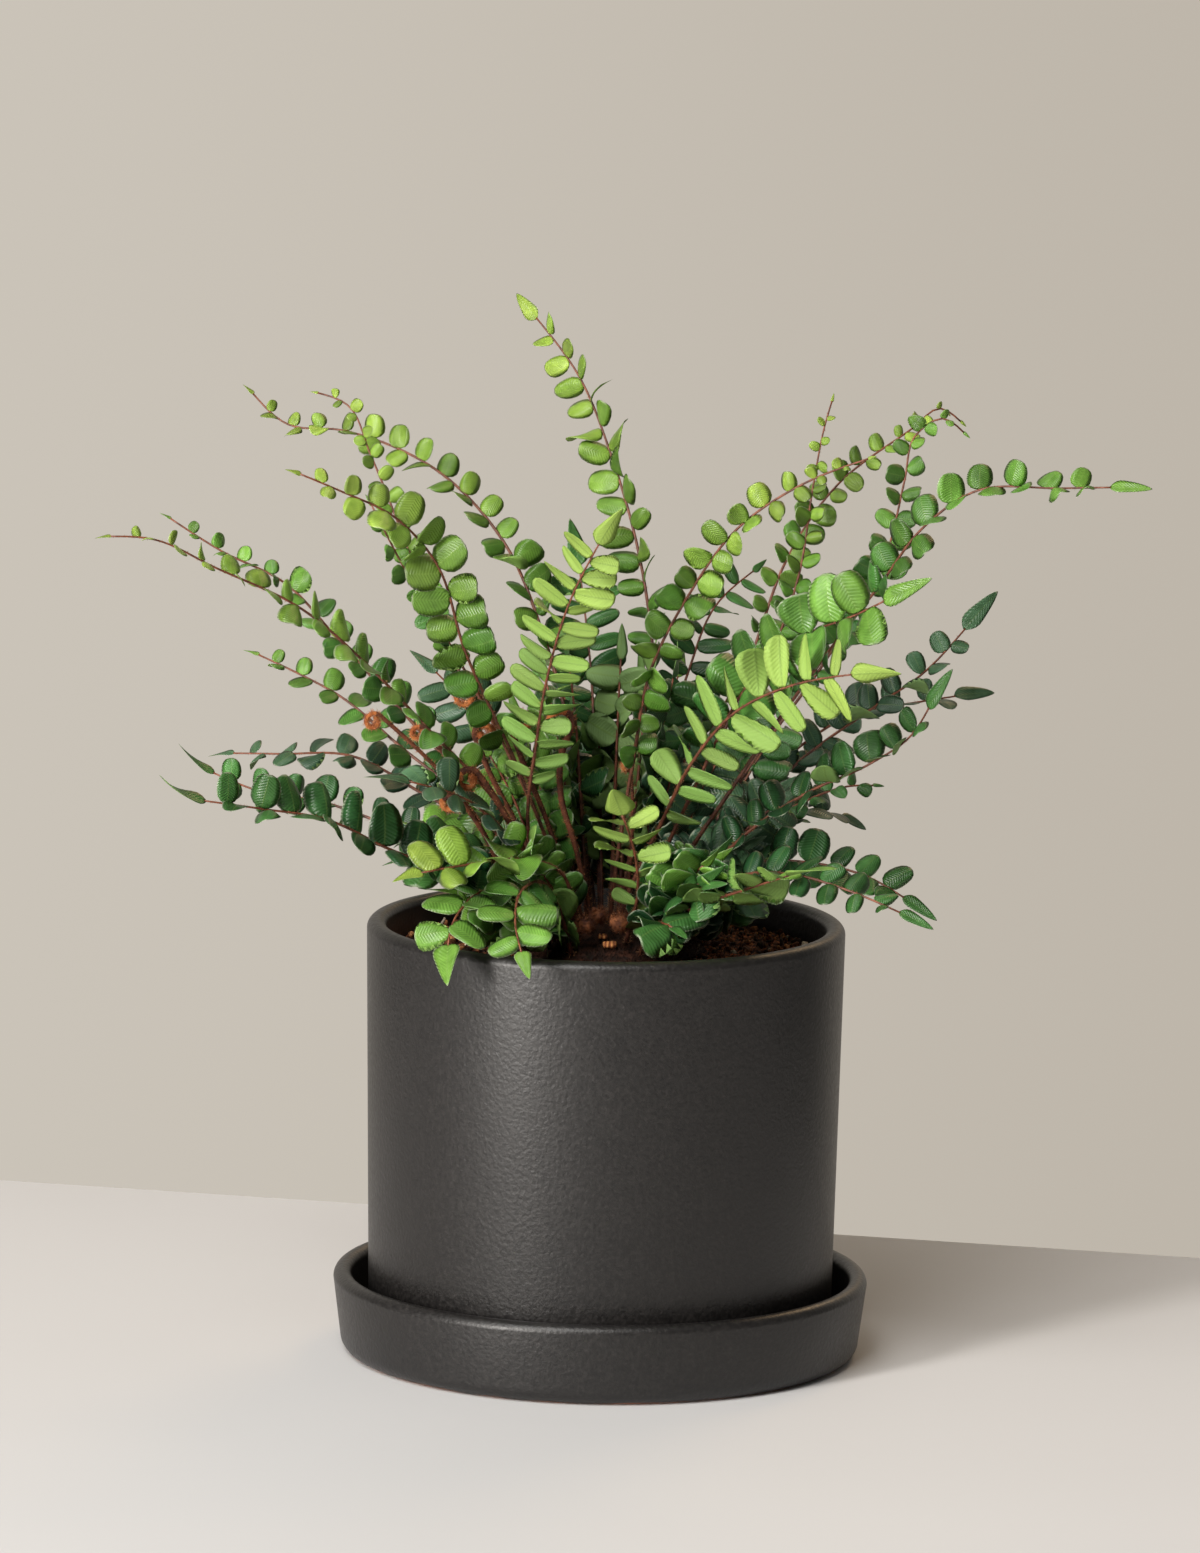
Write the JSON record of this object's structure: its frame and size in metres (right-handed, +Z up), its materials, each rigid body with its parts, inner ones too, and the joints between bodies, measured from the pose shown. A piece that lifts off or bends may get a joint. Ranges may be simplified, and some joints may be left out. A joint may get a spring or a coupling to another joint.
{
  "type": "potted fern",
  "caption": "Button fern in a matte charcoal stoneware pot with rounded rim, standing on its matching saucer.",
  "frame": {"origin": "centre of the saucer's flat underside", "axes": "+Z up along the pot; -Y towards the side with the drooping fronds; +X towards the longest low arm"},
  "size_m": [0.2982, 0.2191, 0.3043],
  "materials": {
    "stoneware": "matte",
    "potting_mix": "rough",
    "rhizome": "rough",
    "leaf_bright": "satin",
    "leaf_mid": "satin",
    "leaf_dark": "satin",
    "leaf_blue": "satin",
    "crosier": "rough",
    "bark": "rough"
  },
  "bodies": {
    "root": {"bark_chip_front": "bark", "bark_chip_left": "bark", "bark_chip_right": "bark", "crosier_hook": "crosier", "crosier_nodding": "crosier", "crosier_pair_left": "crosier", "crosier_pair_right": "crosier", "crosier_slim_centre": "crosier", "crosier_slim_far_left": "crosier", "crosier_slim_left": "crosier", "crosier_stout": "crosier", "crosier_stout_low": "crosier", "frond_back_centre": "leaf_mid", "frond_back_ladder": "leaf_dark", "frond_back_low_left": "leaf_dark", "frond_back_low_right": "leaf_mid", "frond_back_right": "leaf_mid", "frond_back_tall": "leaf_dark", "frond_centre_bush": "leaf_mid", "frond_far_right_arm": "leaf_mid", "frond_front_droop": "leaf_mid", "frond_front_ladder": "leaf_bright", "frond_front_left_droop": "leaf_mid", "frond_front_left_lateral": "leaf_bright", "frond_front_right_short": "leaf_dark", "frond_front_small": "leaf_bright", "frond_left_back_dark": "leaf_blue", "frond_left_bush": "leaf_dark", "frond_left_centre_blade": "leaf_blue", "frond_left_flat_back": "leaf_blue", "frond_left_flat_front": "leaf_dark", "frond_left_flat_mid": "leaf_dark", "frond_left_low_back": "leaf_mid", "frond_left_low_front": "leaf_bright", "frond_left_mid_arch": "leaf_bright", "frond_left_small": "leaf_mid", "frond_left_thin_upright": "leaf_bright", "frond_left_young_hook": "leaf_mid", "frond_right_back_ladder": "leaf_dark", "frond_right_back_mid": "leaf_blue", "frond_right_back_tip": "leaf_blue", "frond_right_broad": "leaf_mid", "frond_right_bush": "leaf_dark", "frond_right_droop": "leaf_dark", "frond_right_droop_front": "leaf_dark", "frond_right_front_bright": "leaf_bright", "frond_right_low_arc": "leaf_dark", "frond_right_low_back": "leaf_blue", "frond_right_low_front": "leaf_mid", "frond_right_low_thin": "leaf_dark", "frond_right_mid_arch": "leaf_bright", "frond_right_tall_arch": "leaf_bright", "frond_right_thin_hook": "leaf_mid", "frond_right_thin_upright": "leaf_bright", "frond_tall_top": "leaf_bright", "frond_upper_left_arch": "leaf_bright", "pot": "stoneware", "potting_mix": "potting_mix", "rhizome": "rhizome", "saucer": "stoneware"}
  },
  "joints": []
}
